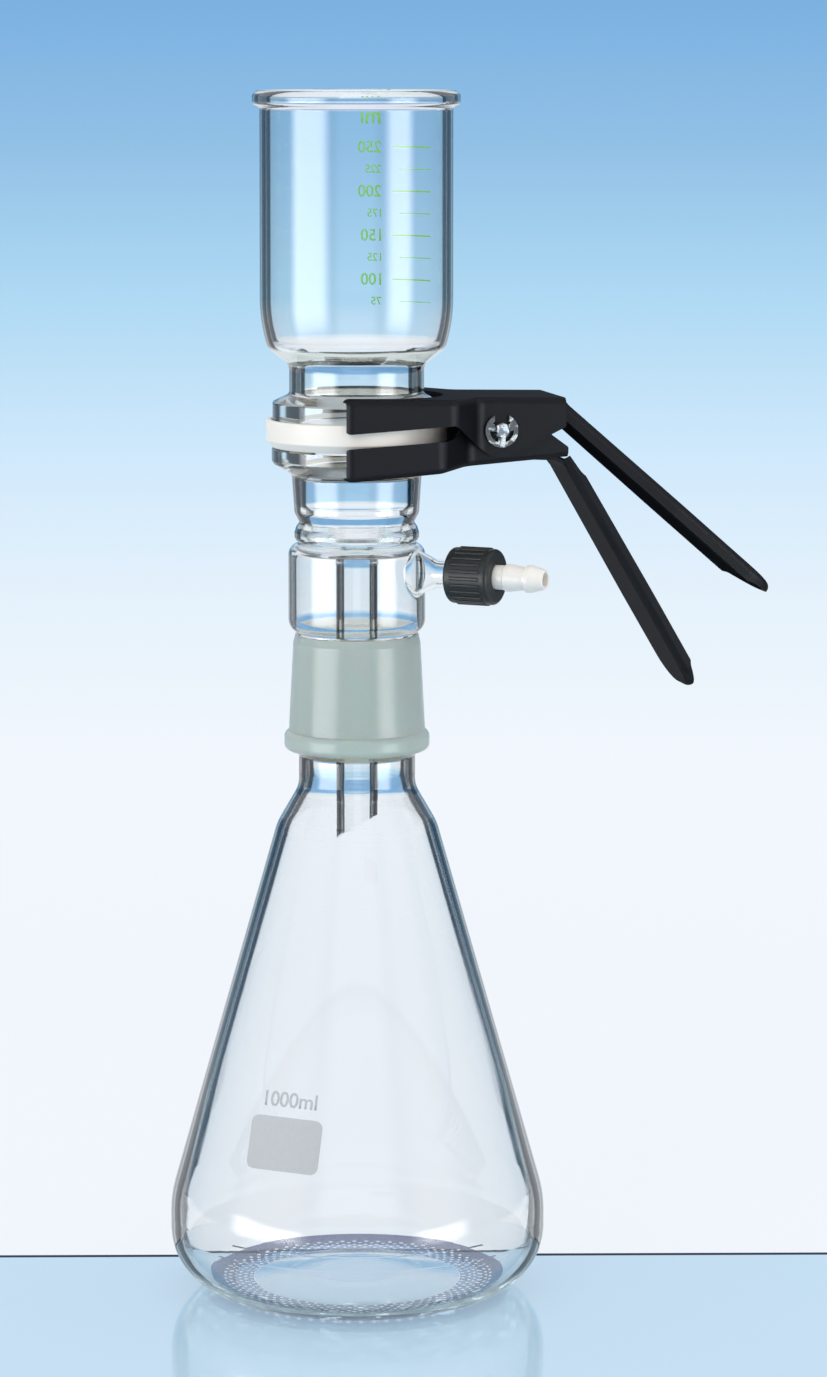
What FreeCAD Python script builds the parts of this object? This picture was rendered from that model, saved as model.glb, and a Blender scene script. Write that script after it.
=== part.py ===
import FreeCAD, Part
import math
import os

# Vacuum filtration unit, in millimetres.
# The glass axis is +Z through the centre of the flask's foot, which stands at z = 0.
# The spring clamp's handles point along +X; the suction arm points ARM_TURN degrees from +X.

V = FreeCAD.Vector
UP = V(0, 0, 1)
ORIGIN = V(0, 0, 0)

# ---------- conical flask ----------
FLASK_RADIUS = 65.5
FLASK_WALL = 2.3
FOOT_RING_INNER = 36.5
FOOT_RISE = 2.4
FOOT_CENTRE_FLAT = 20.0
FOOT_KICK_RADIUS = 60.0
FOOT_CORNER_RADIUS = 22.0
FLANK_TOP = 32.5
FLANK_BLEND = 40.0
CONE_ANGLE = 15.9
SHOULDER_Z = 164.3
SHOULDER_BLEND = 20.0
NECK_RADIUS = 20.3
NECK_Z = 177.5
NECK_BLEND = 10.0
NECK_BORE = 17.5

# ---------- ground joint between flask and receiver head ----------
JOINT_Z = 190.5
JOINT_LENGTH = 40.0
JOINT_LARGE_RADIUS = 22.5
JOINT_TAPER = 0.05
JOINT_FILM = 0.08
JOINT_STEP = 2.2
SOCKET_WALL = 1.5
SOCKET_SKIRT = 0.4
SOCKET_SHOULDER = 1.5
SOCKET_ROOT = 0.9
BEAD_RADIUS = 25.3
BEAD_HEIGHT = 6.9

# ---------- receiver head ----------
BULB_RADIUS = 23.8
BULB_WALL = 1.7
BULB_BASE_GROOVE = 0.6
BULB_HEIGHT = 32.6
HEAD_WAIST_RADIUS = 20.0
HEAD_NECK_RADIUS = 22.6
HEAD_NECK_LENGTH = 24.0
HEAD_BORE = 19.8
HEAD_LOW_BORE = 17.9
HEAD_NECK_DRAW = 0.9
HEAD_WAIST_HEIGHT = 1.5
HEAD_FLOOR_RISE = 1.9
NOTCH_HEIGHT = 7.2
NOTCH_ABOVE = 3.4
NOTCH_BELOW = 2.6
BORE_STEP_HEIGHT = 6.0
BULB_SHOULDER = 3.2
FLOOR_WALL = 1.7
CUP_RADIUS = 11.2
CUP_DEPTH = 5.6
CUP_DRAW = 0.9
DRIP_TUBE_RADIUS = 7.2
DRIP_TUBE_WALL = 1.6
TUBE_MOUTH_RISE = 0.7
DRIP_TUBE_REACH = 104.5
DRIP_CUT_ANGLE = 30.0
DRIP_CUT_DEPTH = 30.0
FLANGE_RADIUS = 29.5
FLANGE_EDGE = 5.5
FLANGE_SLOPE = 4.0
GLASS_EDGE = 0.7

# ---------- suction arm ----------
ARM_TURN = -38.0
ARM_HEIGHT = 22.5
ARM_ROOT_RADIUS = 8.3
ARM_ROOT_BLEND = 2.6
ARM_CONE_REACH = 30.5
ARM_NECK_RADIUS = 4.9
ARM_NECK_REACH = 37.0
ARM_THREAD_RADIUS = 6.5
ARM_REACH = 48.6
ARM_BORE = 3.3

# ---------- screw cap, hose nozzle and washer ----------
CAP_RADIUS = 10.1
CAP_BACK_REACH = 36.9
CAP_WALL_GAP = 0.35
CAP_END_WALL = 1.7
CAP_APERTURE_GAP = 0.3
CAP_CHAMFER = 1.4
CAP_RIB_COUNT = 24
CAP_RIB_DEPTH = 0.45
CAP_RIB_WIDTH = 1.3
CAP_PLAIN_FRONT = 2.8
CAP_RIB_LENGTH = 11.0
WASHER_THICKNESS = 1.2
WASHER_RADIUS = 6.3
NOZZLE_FLANGE = 1.8
NOZZLE_FLANGE_GAP = 0.2
NOZZLE_STEM_RADIUS = 4.2
NOZZLE_BARB_RADIUS = 4.75
NOZZLE_BARB_LAND = 1.6
NOZZLE_BARB_RISE = 0.4
NOZZLE_TIP_SETBACK = 0.6
NOZZLE_BARB_LENGTH = 7.7
NOZZLE_BARB_STEP = 0.85
NOZZLE_BARB_COUNT = 2
NOZZLE_STEM_FREE = 3.3
NOZZLE_TIP_RADIUS = 3.4
NOZZLE_BORE = 2.4

# ---------- seal ring and filter disc ----------
RING_HEIGHT = 8.2
RING_RADIUS = 31.4
RING_FOOT_RADIUS = 29.2
RING_BEVEL = 2.6
RING_LIP = 1.5
RING_LIP_GAP = 0.3
RING_BORE = 20.2
DISC_RADIUS = 23.5
DISC_THICKNESS = 5.0
DISC_GAP = 0.15

# ---------- graduated funnel ----------
FUNNEL_RADIUS = 33.5
FUNNEL_WALL = 1.6
FUNNEL_FLANGE_RADIUS = 29.2
FUNNEL_FLANGE_EDGE = 7.4
FUNNEL_FLANGE_SLOPE = 2.8
FUNNEL_NECK_RADIUS = 23.4
FUNNEL_NECK_WALL = 3.2
FUNNEL_NECK_TOP = 20.2
FUNNEL_SHOULDER_ANGLE = 38.0
FUNNEL_SHOULDER_TURN = 75.0
FUNNEL_SHOULDER_HEIGHT = 24.0
FUNNEL_BLEND_HEIGHT = 15.5
FUNNEL_KNEE_SHARE = 0.36
FUNNEL_BARREL_BLEND = 55.0
FUNNEL_HEIGHT = 115.0
RIM_BEAD = 2.45
RIM_OVERHANG = 2.55
RIM_RUN = 0.8

# ---------- spring clamp ----------
SHEET = 1.3
PIN_X = 46.8
PIN_Z = 302.2
PIN_RADIUS = 2.65
PIN_FIT = 0.05
PIN_OVERHANG = 1.6
JAW_TIP_X = -10.9
JAW_FRONT_HALF_WIDTH = 33.3
JAW_TAPER_START = 28.0
JAW_TAPER_END = 38.8
JAW_TAPER_BLEND = 5.0
JAW_TAPER_GAP = 1.7
JAW_REAR_HALF_WIDTH = 19.6
UPPER_REAR_LENGTH = 23.2
LOWER_REAR_LENGTH = 24.4
JAW_SIDE_GAP = 0.35
BEND_RADIUS = 2.4
SLOT_HALF_WIDTH = 27.0
SLOT_END_X = 30.0
EAR_RADIUS = 9.4
UPPER_PLATE_HEIGHT = 11.4
UPPER_TILT = 1.2
UPPER_WALL_FRONT = 0.6
UPPER_WALL_MIDDLE = 3.0
UPPER_WALL_REAR = 0.9
LOWER_PLATE_DEPTH = 11.65
LOWER_TILT = 4.3
LOWER_WALL_FRONT = 4.5
LOWER_WALL_MIDDLE = 2.2
LOWER_WALL_REAR = 6.3
UPPER_KNEE_RUN = 2.2
UPPER_KNEE_DROP = 2.6
UPPER_HANDLE_ANGLE = 41.2
UPPER_HANDLE_LENGTH = 101.5
UPPER_HANDLE_DEPTH = 4.9
UPPER_HANDLE_BACK = 2.6
LOWER_HANDLE_ANGLE = 60.0
LOWER_HANDLE_LENGTH = 95.0
LOWER_HANDLE_DEPTH = 4.6
LOWER_HANDLE_RAMP = 11.0
LOWER_HANDLE_ROOT_DEPTH = 3.2
LOWER_HANDLE_NARROWING = 1.2
LOWER_BEND_RADIUS = 7.0
LOWER_KNEE_SETBACK = 1.1
LOWER_TONGUE_RUN = 13.0
LOWER_TONGUE_DROP = 1.6
LOWER_TONGUE_BEND = 12.0
HANDLE_ROOT_HALF_WIDTH = 15.0
HANDLE_WIDEST_REACH = 54.0
HANDLE_WIDEST_HALF_WIDTH = 17.2
HANDLE_SIDE_BLEND = 60.0
HANDLE_RUN_IN = 10.0
HANDLE_TIP_HALF_WIDTH = 16.7
HANDLE_TIP_RADIUS = 13.0
HANDLE_TIP_RELIEF = 14.5
STRIP_SETBACK = 1.2
STRIP_LAP = 0.1

# ---------- torsion spring and retaining clips ----------
SPRING_WIRE = 1.8
SPRING_GAP = 0.55
SPRING_TURNS = 7
SPRING_PITCH = 2.2
SPRING_LEG_X = 18.0
SPRING_SEAT = 0.2
CLIP_THICKNESS = 0.7
CLIP_RADIUS = 5.8
CLIP_BAND = 1.6
CLIP_MOUTH = 5.0
CLIP_MOUTH_FLOOR = 0.9
CLIP_LUG_WIDTH = 2.6
CLIP_LUG_TURN = 110
CLIP_GROOVE = 0.5
CLIP_EAR_GAP = 0.3


# ---------- cutting shapes run past the solids they cut by these ----------
OVERRUN = 20
BEYOND = 60


# ---------- outlines ----------
def offset_outline(corners, distance):
    """Open outline moved to the left of its travel, with its fillet radii kept parallel."""
    points = [V(x, 0, z) for x, z, _ in corners]
    steps = [(b - a).normalize() for a, b in zip(points, points[1:])]
    normals = [V(-s.z, 0, s.x) for s in steps]
    moved = []
    for i, (x, z, radius) in enumerate(corners):
        before = normals[max(i - 1, 0)]
        after = normals[min(i, len(normals) - 1)]
        shift = (before + after) * (distance / (1 + before.dot(after)))
        turn = before.x * after.z - before.z * after.x
        grown = radius - distance if turn > 0 else radius + distance
        moved.append((x + shift.x, z + shift.z, max(grown, 0) if radius else 0))
    return moved


def closed_wire(corners, place):
    """Closed wire through the corners: rounded by a radius, sharp at 0, cut off below 0."""
    count = len(corners)
    edges = []
    starts = []
    ends = []
    arcs = []
    for i, (x, z, radius) in enumerate(corners):
        here = V(x, 0, z)
        back = V(corners[i - 1][0], 0, corners[i - 1][1]) - here
        ahead = V(corners[(i + 1) % count][0], 0, corners[(i + 1) % count][1]) - here
        if radius == 0:
            starts.append(here)
            ends.append(here)
            arcs.append(None)
            continue
        back.normalize()
        ahead.normalize()
        if radius < 0:
            starts.append(here - back * radius)
            ends.append(here - ahead * radius)
            arcs.append(None)
            continue
        half = math.acos(max(-1.0, min(1.0, back.dot(ahead)))) / 2
        reach = radius / math.tan(half)
        middle = (back + ahead).normalize()
        starts.append(here + back * reach)
        ends.append(here + ahead * reach)
        arcs.append(here + middle * (radius / math.sin(half) - radius))
    for i in range(count):
        if arcs[i] is not None:
            edges.append(Part.Arc(place(starts[i]), place(arcs[i]), place(ends[i])).toShape())
        elif starts[i].distanceToPoint(ends[i]) > 1e-6:
            edges.append(Part.LineSegment(place(starts[i]), place(ends[i])).toShape())
        a = place(ends[i])
        b = place(starts[(i + 1) % count])
        if a.distanceToPoint(b) > 1e-6:
            edges.append(Part.LineSegment(a, b).toShape())
    return Part.Wire(edges)


def section_face(corners):
    return Part.Face(closed_wire(corners, lambda p: p))


def turned(corners):
    """Solid of revolution about +Z; the corners are (radius, height, rounding)."""
    return section_face(corners).revolve(ORIGIN, UP, 360)


def side_prism(corners, half_width):
    """Prism across Y from an outline in the XZ plane."""
    face = Part.Face(closed_wire(corners, lambda p: V(p.x, -half_width, p.z)))
    return face.extrude(V(0, 2 * half_width, 0))


def plan_prism(corners, low, high):
    """Prism along Z from an outline in the XY plane."""
    face = Part.Face(closed_wire(corners, lambda p: V(p.x, p.z, low)))
    return face.extrude(V(0, 0, high - low))


def mirrored_plan(half_outline):
    """Closed plan symmetric about the X axis, from its +Y half."""
    other = [(x, -y, r) for x, y, r in reversed(half_outline)]
    return list(half_outline) + other


def along_arm(shape):
    """Shape built about +Z from the bulb's axis, laid along the suction arm."""
    shape.rotate(ORIGIN, V(0, 1, 0), 90)
    shape.translate(V(0, 0, ARM_Z))
    shape.rotate(ORIGIN, UP, ARM_TURN)
    return shape


# ---------- levels worked out from the driving sizes ----------
JOINT_TOP = JOINT_Z + JOINT_LENGTH
JOINT_SMALL_RADIUS = JOINT_LARGE_RADIUS - JOINT_LENGTH * JOINT_TAPER
BULB_TOP = JOINT_TOP + BULB_HEIGHT - BULB_BASE_GROOVE
ARM_Z = JOINT_TOP + ARM_HEIGHT
HEAD_NECK_TOP = BULB_TOP + HEAD_NECK_LENGTH
HEAD_TOP = HEAD_NECK_TOP + FLANGE_SLOPE + FLANGE_EDGE
RING_TOP = HEAD_TOP + RING_HEIGHT
RING_LIP_TOP = RING_TOP + RING_LIP
FUNNEL_BASE = RING_TOP
FUNNEL_TOP = FUNNEL_BASE + FUNNEL_HEIGHT
WASHER_FRONT = ARM_REACH + WASHER_THICKNESS
NOZZLE_FLANGE_FRONT = WASHER_FRONT + NOZZLE_FLANGE
CAP_FRONT = NOZZLE_FLANGE_FRONT + NOZZLE_FLANGE_GAP + CAP_END_WALL


# ---------- glass ----------
def flask():
    cone_slope = math.tan(math.radians(CONE_ANGLE))
    shoulder_radius = FLASK_RADIUS - (SHOULDER_Z - FLANK_TOP) * cone_slope
    body = [
        (0, FOOT_RISE, 0),
        (FOOT_CENTRE_FLAT, FOOT_RISE, FOOT_KICK_RADIUS),
        (FOOT_RING_INNER, 0, 0),
        (FLASK_RADIUS, 0, FOOT_CORNER_RADIUS),
        (FLASK_RADIUS, FLANK_TOP, FLANK_BLEND),
        (shoulder_radius, SHOULDER_Z, SHOULDER_BLEND),
        (NECK_RADIUS, NECK_Z, NECK_BLEND),
        (NECK_RADIUS, JOINT_Z - JOINT_STEP, 1.5),
    ]
    cavity = offset_outline(body, FLASK_WALL)[:-2]
    cavity += [(NECK_BORE, NECK_Z + FLASK_WALL, NECK_BLEND)]
    cavity[0] = (0, cavity[0][1], 0)
    plug = [
        (JOINT_LARGE_RADIUS, JOINT_Z, 0.6),
        (JOINT_SMALL_RADIUS, JOINT_TOP, 1.0),
        (NECK_BORE, JOINT_TOP, 1.0),
    ]
    return turned(body + plug + list(reversed(cavity)))


def socket_bore(z):
    return JOINT_LARGE_RADIUS + JOINT_FILM - (z - JOINT_Z) * JOINT_TAPER


def arm_root_edges(glass):
    """Edges where the arm's cone leaves the outside of the bulb."""
    axis = V(math.cos(math.radians(ARM_TURN)), math.sin(math.radians(ARM_TURN)), 0)
    chosen = []
    for edge in glass.Edges:
        points = edge.discretize(9)
        out = [p.dot(axis) for p in points]
        off = [(p - axis * d - V(0, 0, ARM_Z)).Length for p, d in zip(points, out)]
        near = max(abs(o - ARM_ROOT_RADIUS) for o in off) < 0.6
        if near and min(out) > BULB_RADIUS - 3 * BULB_WALL and max(out) < BULB_RADIUS + 0.5:
            if min(math.hypot(p.x, p.y) for p in points) > BULB_RADIUS - BULB_WALL * 0.8:
                chosen.append(edge)
    return chosen


def receiver_head():
    mouth = JOINT_Z - SOCKET_SKIRT
    bead_top = mouth + BEAD_HEIGHT
    socket_top = JOINT_TOP - SOCKET_SHOULDER
    waist_top = BULB_TOP + HEAD_WAIST_HEIGHT
    notch = BULB_TOP + NOTCH_HEIGHT
    drawn = HEAD_NECK_RADIUS - HEAD_NECK_DRAW
    floor_under = BULB_TOP - BULB_WALL
    tube_top = floor_under - CUP_DEPTH
    tube_end = BULB_TOP - DRIP_TUBE_REACH
    tube_bore = DRIP_TUBE_RADIUS - DRIP_TUBE_WALL
    outside = [
        (HEAD_BORE, HEAD_TOP, -GLASS_EDGE),
        (FLANGE_RADIUS, HEAD_TOP, -GLASS_EDGE),
        (FLANGE_RADIUS, HEAD_TOP - FLANGE_EDGE, -GLASS_EDGE),
        (HEAD_NECK_RADIUS, HEAD_NECK_TOP, 2.5),
        (drawn, notch + NOTCH_ABOVE, 3.0),
        (HEAD_WAIST_RADIUS, notch, 0.9),
        (drawn, notch - NOTCH_BELOW, -1.0),
        (drawn, waist_top, -0.6),
        (HEAD_WAIST_RADIUS, BULB_TOP, 0),
        (BULB_RADIUS, BULB_TOP, 4.2),
        (BULB_RADIUS, JOINT_TOP, 5.5),
        (socket_bore(JOINT_TOP) + SOCKET_ROOT, JOINT_TOP, 0),
        (socket_bore(socket_top) + SOCKET_WALL, socket_top - 1.2, 0),
        (socket_bore(bead_top) + SOCKET_WALL, bead_top, 0),
        (BEAD_RADIUS, bead_top, 2.2),
        (BEAD_RADIUS, mouth, 2.2),
    ]
    inside = [
        (socket_bore(mouth), mouth, -0.5),
        (socket_bore(JOINT_TOP), JOINT_TOP, 0),
        (socket_bore(JOINT_TOP), JOINT_TOP + SOCKET_ROOT, 0),
        (BULB_RADIUS - BULB_WALL, JOINT_TOP + BULB_SHOULDER, 2.5),
        (BULB_RADIUS - BULB_WALL, floor_under, -1.9),
        (CUP_RADIUS, floor_under - CUP_DRAW, 0),
        (DRIP_TUBE_RADIUS, tube_top, 3.0),
        (DRIP_TUBE_RADIUS, tube_end, 0),
        (tube_bore, tube_end, 0),
        (tube_bore, tube_top + TUBE_MOUTH_RISE, 3.0),
        (CUP_RADIUS - CUP_DRAW, floor_under - CUP_DRAW + FLOOR_WALL, 0),
        (HEAD_LOW_BORE, BULB_TOP + HEAD_FLOOR_RISE, -1.0),
        (HEAD_LOW_BORE, notch, 4.0),
        (HEAD_BORE, notch + BORE_STEP_HEIGHT, 4.0),
    ]
    glass = turned(outside + inside)
    # The arm starts inside the bulb's wall, and the wall flares out to meet it.
    start = BULB_RADIUS - BULB_WALL * 0.9
    arm = turned([
        (0, start, 0),
        (ARM_ROOT_RADIUS, start, 0),
        (ARM_NECK_RADIUS, ARM_CONE_REACH, 6.0),
        (ARM_NECK_RADIUS, ARM_NECK_REACH + 1.5, 0),
        (ARM_THREAD_RADIUS, ARM_NECK_REACH + 2.2, 0),
        (ARM_THREAD_RADIUS, ARM_REACH, -0.6),
        (0, ARM_REACH, 0),
    ])
    arm_bore = turned([
        (0, BULB_RADIUS - 6.0, 0),
        (ARM_ROOT_RADIUS - BULB_WALL, BULB_RADIUS - 6.0, 0),
        (ARM_ROOT_RADIUS - BULB_WALL, BULB_RADIUS, 0),
        (ARM_BORE, ARM_CONE_REACH, 6.0),
        (ARM_BORE, ARM_REACH + 1.0, 0),
        (0, ARM_REACH + 1.0, 0),
    ])
    glass = glass.fuse(along_arm(arm))
    glass = glass.makeFillet(ARM_ROOT_BLEND, arm_root_edges(glass)).cut(along_arm(arm_bore))
    # The drip tip is cut at a slant, longest on the side away from the suction arm.
    half_cut = DRIP_TUBE_RADIUS * 3
    rise = half_cut * math.tan(math.radians(DRIP_CUT_ANGLE))
    drip_rise = DRIP_TUBE_RADIUS * math.tan(math.radians(DRIP_CUT_ANGLE))
    slant = side_prism([
        (-half_cut, tube_end + drip_rise - rise, 0),
        (half_cut, tube_end + drip_rise + rise, 0),
        (half_cut, tube_end - DRIP_CUT_DEPTH, 0),
        (-half_cut, tube_end - DRIP_CUT_DEPTH, 0),
    ], half_cut)
    slant.rotate(ORIGIN, UP, ARM_TURN)
    tip_zone = Part.makeCylinder(half_cut, DRIP_CUT_DEPTH + 2 * drip_rise, V(0, 0, tube_end - DRIP_CUT_DEPTH))
    return glass.cut(slant.common(tip_zone))


def funnel():
    base = FUNNEL_BASE
    edge_top = base + FUNNEL_FLANGE_EDGE
    slope_top = edge_top + FUNNEL_FLANGE_SLOPE
    neck_top = base + FUNNEL_NECK_TOP
    shoulder_end = neck_top + FUNNEL_SHOULDER_HEIGHT
    first = math.radians(FUNNEL_SHOULDER_ANGLE)
    steep = math.radians(FUNNEL_SHOULDER_TURN)
    # The shoulder leaves the neck at a low angle, then turns steeply into the barrel.
    knee_height = (FUNNEL_SHOULDER_HEIGHT - FUNNEL_BLEND_HEIGHT / 2) * FUNNEL_KNEE_SHARE
    knee_radius = FUNNEL_NECK_RADIUS + knee_height / math.tan(first)
    top_height = (FUNNEL_RADIUS - knee_radius) * math.tan(steep)
    wall = [
        (FUNNEL_NECK_RADIUS, slope_top, 1.6),
        (FUNNEL_NECK_RADIUS, neck_top, 4.0),
        (knee_radius, neck_top + knee_height, 6.0),
        (FUNNEL_RADIUS, neck_top + knee_height + top_height, FUNNEL_BARREL_BLEND),
        (FUNNEL_RADIUS, FUNNEL_TOP, 0),
    ]
    inner = offset_outline(wall[1:], FUNNEL_WALL)
    bore = FUNNEL_NECK_RADIUS - FUNNEL_NECK_WALL
    inside = [(bore, base, 0.8), (bore, inner[0][1], 4.0)] + inner[1:-1]
    rim_low = FUNNEL_TOP - 2 * RIM_BEAD
    corners = [
        (bore, base, 0.8),
        (FUNNEL_FLANGE_RADIUS, base, 0.9),
        (FUNNEL_FLANGE_RADIUS, edge_top, 0.9),
        *wall[:-1],
        (FUNNEL_RADIUS, rim_low - RIM_RUN, 1.5),
        (FUNNEL_RADIUS + RIM_OVERHANG, rim_low, 1.6),
        (FUNNEL_RADIUS + RIM_OVERHANG, FUNNEL_TOP, RIM_BEAD),
        (FUNNEL_RADIUS - FUNNEL_WALL, FUNNEL_TOP, 2.0),
        *reversed(inside[1:]),
    ]
    return turned(corners)


# ---------- seal and filter disc ----------
def seal_ring():
    pocket = DISC_RADIUS + DISC_GAP
    pocket_floor = RING_TOP - DISC_THICKNESS - DISC_GAP
    lip_bore = FUNNEL_FLANGE_RADIUS + RING_LIP_GAP
    return turned([
        (RING_BORE, HEAD_TOP, 0.4),
        (RING_FOOT_RADIUS, HEAD_TOP, 0.3),
        (RING_RADIUS, HEAD_TOP + RING_BEVEL, 0.8),
        (RING_RADIUS, RING_LIP_TOP, 0.7),
        (lip_bore, RING_LIP_TOP, 0.4),
        (lip_bore, RING_TOP, 0.3),
        (pocket, RING_TOP, 0.3),
        (pocket, pocket_floor, 0),
        (RING_BORE, pocket_floor, 0.4),
    ])


def filter_frit():
    low = RING_TOP - DISC_GAP - DISC_THICKNESS
    return turned([
        (0, low, 0),
        (DISC_RADIUS, low, 0.4),
        (DISC_RADIUS, low + DISC_THICKNESS, 0.4),
        (0, low + DISC_THICKNESS, 0),
    ])


# ---------- suction fittings ----------
def screw_cap():
    bore = ARM_THREAD_RADIUS + CAP_WALL_GAP
    aperture = NOZZLE_STEM_RADIUS + CAP_APERTURE_GAP
    land = CAP_FRONT - CAP_PLAIN_FRONT
    rib_foot = CAP_RADIUS - CAP_RIB_DEPTH
    cap = turned([
        (bore, CAP_BACK_REACH, 0.4),
        (rib_foot, CAP_BACK_REACH, 1.2),
        (rib_foot, CAP_FRONT, CAP_CHAMFER),
        (aperture, CAP_FRONT, 0.3),
        (aperture, CAP_FRONT - CAP_END_WALL, 0),
        (bore, CAP_FRONT - CAP_END_WALL, 0),
    ])
    rib = Part.makeBox(
        CAP_RIB_DEPTH + 1.0, CAP_RIB_WIDTH, CAP_RIB_LENGTH,
        V(rib_foot - 1.0, -CAP_RIB_WIDTH / 2, land - CAP_RIB_LENGTH),
    )
    crests = [e for e in rib.Edges if abs(e.CenterOfMass.x - CAP_RADIUS) < 1e-6]
    rib = rib.makeFillet(CAP_RIB_DEPTH * 0.9, crests)
    ribs = []
    for i in range(CAP_RIB_COUNT):
        copy = rib.copy()
        copy.rotate(ORIGIN, UP, i * 360.0 / CAP_RIB_COUNT)
        ribs.append(copy)
    return along_arm(cap.fuse(ribs))


def hose_nozzle():
    outside = [
        (ARM_THREAD_RADIUS, WASHER_FRONT, 0.3),
        (ARM_THREAD_RADIUS, NOZZLE_FLANGE_FRONT, 0.3),
        (NOZZLE_STEM_RADIUS, NOZZLE_FLANGE_FRONT, 0),
    ]
    station = CAP_FRONT + NOZZLE_STEM_FREE
    foot = NOZZLE_STEM_RADIUS
    for _ in range(NOZZLE_BARB_COUNT):
        outside += [
            (foot, station, 0),
            (NOZZLE_BARB_RADIUS, station + NOZZLE_BARB_RISE, 0.15),
            (NOZZLE_BARB_RADIUS, station + NOZZLE_BARB_RISE + NOZZLE_BARB_LAND, 0),
        ]
        foot = NOZZLE_BARB_RADIUS - NOZZLE_BARB_STEP
        station += NOZZLE_BARB_LENGTH
    tip = station - NOZZLE_TIP_SETBACK
    outside += [
        (NOZZLE_TIP_RADIUS, tip, 0.5),
        (NOZZLE_BORE, tip, 0.3),
        (NOZZLE_BORE, WASHER_FRONT, 0),
    ]
    return along_arm(turned(outside))


def nozzle_seal():
    return along_arm(turned([
        (ARM_BORE, ARM_REACH, 0.2),
        (WASHER_RADIUS, ARM_REACH, 0.2),
        (WASHER_RADIUS, WASHER_FRONT, 0.2),
        (ARM_BORE, WASHER_FRONT, 0.2),
    ]))


# ---------- spring clamp ----------
# Each jaw is drawn with the pin's axis at the origin and its plate above its walls;
# the lower jaw is then turned over.
def ear_corner(front, rear, radius):
    """Where the two lines that touch the ear's circle from below cross."""
    normals = []
    for point, side in ((front, 1), (rear, -1)):
        distance = math.hypot(point[0], point[1])
        angle = math.atan2(point[1], point[0]) + side * math.acos(radius / distance)
        normals.append((math.cos(angle), math.sin(angle)))
    (a, b), (c, d) = normals
    spread = a * d - b * c
    return (radius * (d - b) / spread, radius * (a - c) / spread)


def jaw_shell(rear, height, tilt, wall_front, wall_middle, wall_rear, inset):
    """Jaw with its side walls; behind the fork it is narrower by the inset, and so is its taper."""
    run = JAW_TAPER_END - JAW_TAPER_START
    drop = JAW_FRONT_HALF_WIDTH - JAW_REAR_HALF_WIDTH
    setback = (inset + JAW_TAPER_GAP if inset else 0) * math.hypot(run, drop) / drop
    rear_half_width = JAW_REAR_HALF_WIDTH - inset
    slope = math.tan(math.radians(tilt))
    tip = JAW_TIP_X - PIN_X
    middle = JAW_TAPER_START - PIN_X
    ear = ear_corner((middle, wall_middle), (rear, wall_rear), EAR_RADIUS)
    side = [
        (tip, height - tip * slope, 0),
        (tip, wall_front, 2.0),
        (middle, wall_middle, 3.0),
        (ear[0], ear[1], EAR_RADIUS),
        (rear, wall_rear, 1.0),
        (rear, height - rear * slope, 0),
    ]
    half = [
        (tip, JAW_FRONT_HALF_WIDTH, 3.0),
        (middle - setback, JAW_FRONT_HALF_WIDTH, JAW_TAPER_BLEND),
        (JAW_TAPER_END - PIN_X - setback + inset * run / drop, rear_half_width, JAW_TAPER_BLEND),
        (rear, rear_half_width, 0),
    ]
    outer = side_prism(side, BEYOND).common(plan_prism(mirrored_plan(half), -BEYOND, BEYOND))
    outer = outer.makeFillet(BEND_RADIUS, plate_edges(outer, height, slope, tip, rear))
    taper = offset_outline(half, -SHEET)
    inner_half = [
        (tip - OVERRUN, taper[0][1], 0),
        taper[1],
        taper[2],
        (rear + OVERRUN, taper[3][1], 0),
    ]
    inner_side = [
        (tip - OVERRUN, height - SHEET - (tip - OVERRUN) * slope, 0),
        (tip - OVERRUN, -BEYOND, 0),
        (rear + OVERRUN, -BEYOND, 0),
        (rear + OVERRUN, height - SHEET - (rear + OVERRUN) * slope, 0),
    ]
    inner = side_prism(inner_side, BEYOND).common(plan_prism(mirrored_plan(inner_half), -BEYOND, BEYOND))
    inner_edges = plate_edges(inner, height - SHEET, slope, tip - OVERRUN, rear + OVERRUN)
    inner = inner.makeFillet(BEND_RADIUS - SHEET, inner_edges)
    return outer.cut(inner)


def plate_edges(solid, height, slope, tip, rear):
    """Edges where the plate's flat face meets the side walls."""
    chosen = []
    for edge in solid.Edges:
        middle = edge.CenterOfMass
        on_plate = all(abs(v.Z - (height - v.X * slope)) < 1e-3 for v in edge.Vertexes)
        at_end = abs(middle.x - tip) < 1e-3 or abs(middle.x - rear) < 1e-3
        if on_plate and not at_end:
            chosen.append(edge)
    return chosen


def fork_slot():
    """The gap that slides round the glass neck, open at the jaw tips."""
    end = SLOT_END_X - PIN_X
    far = JAW_TIP_X - PIN_X - OVERRUN
    half = SLOT_HALF_WIDTH
    corners = [(far, half, 0), (end, half, half - 0.01), (end, -half, half - 0.01), (far, -half, 0)]
    return plan_prism(corners, -BEYOND, BEYOND)


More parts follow.
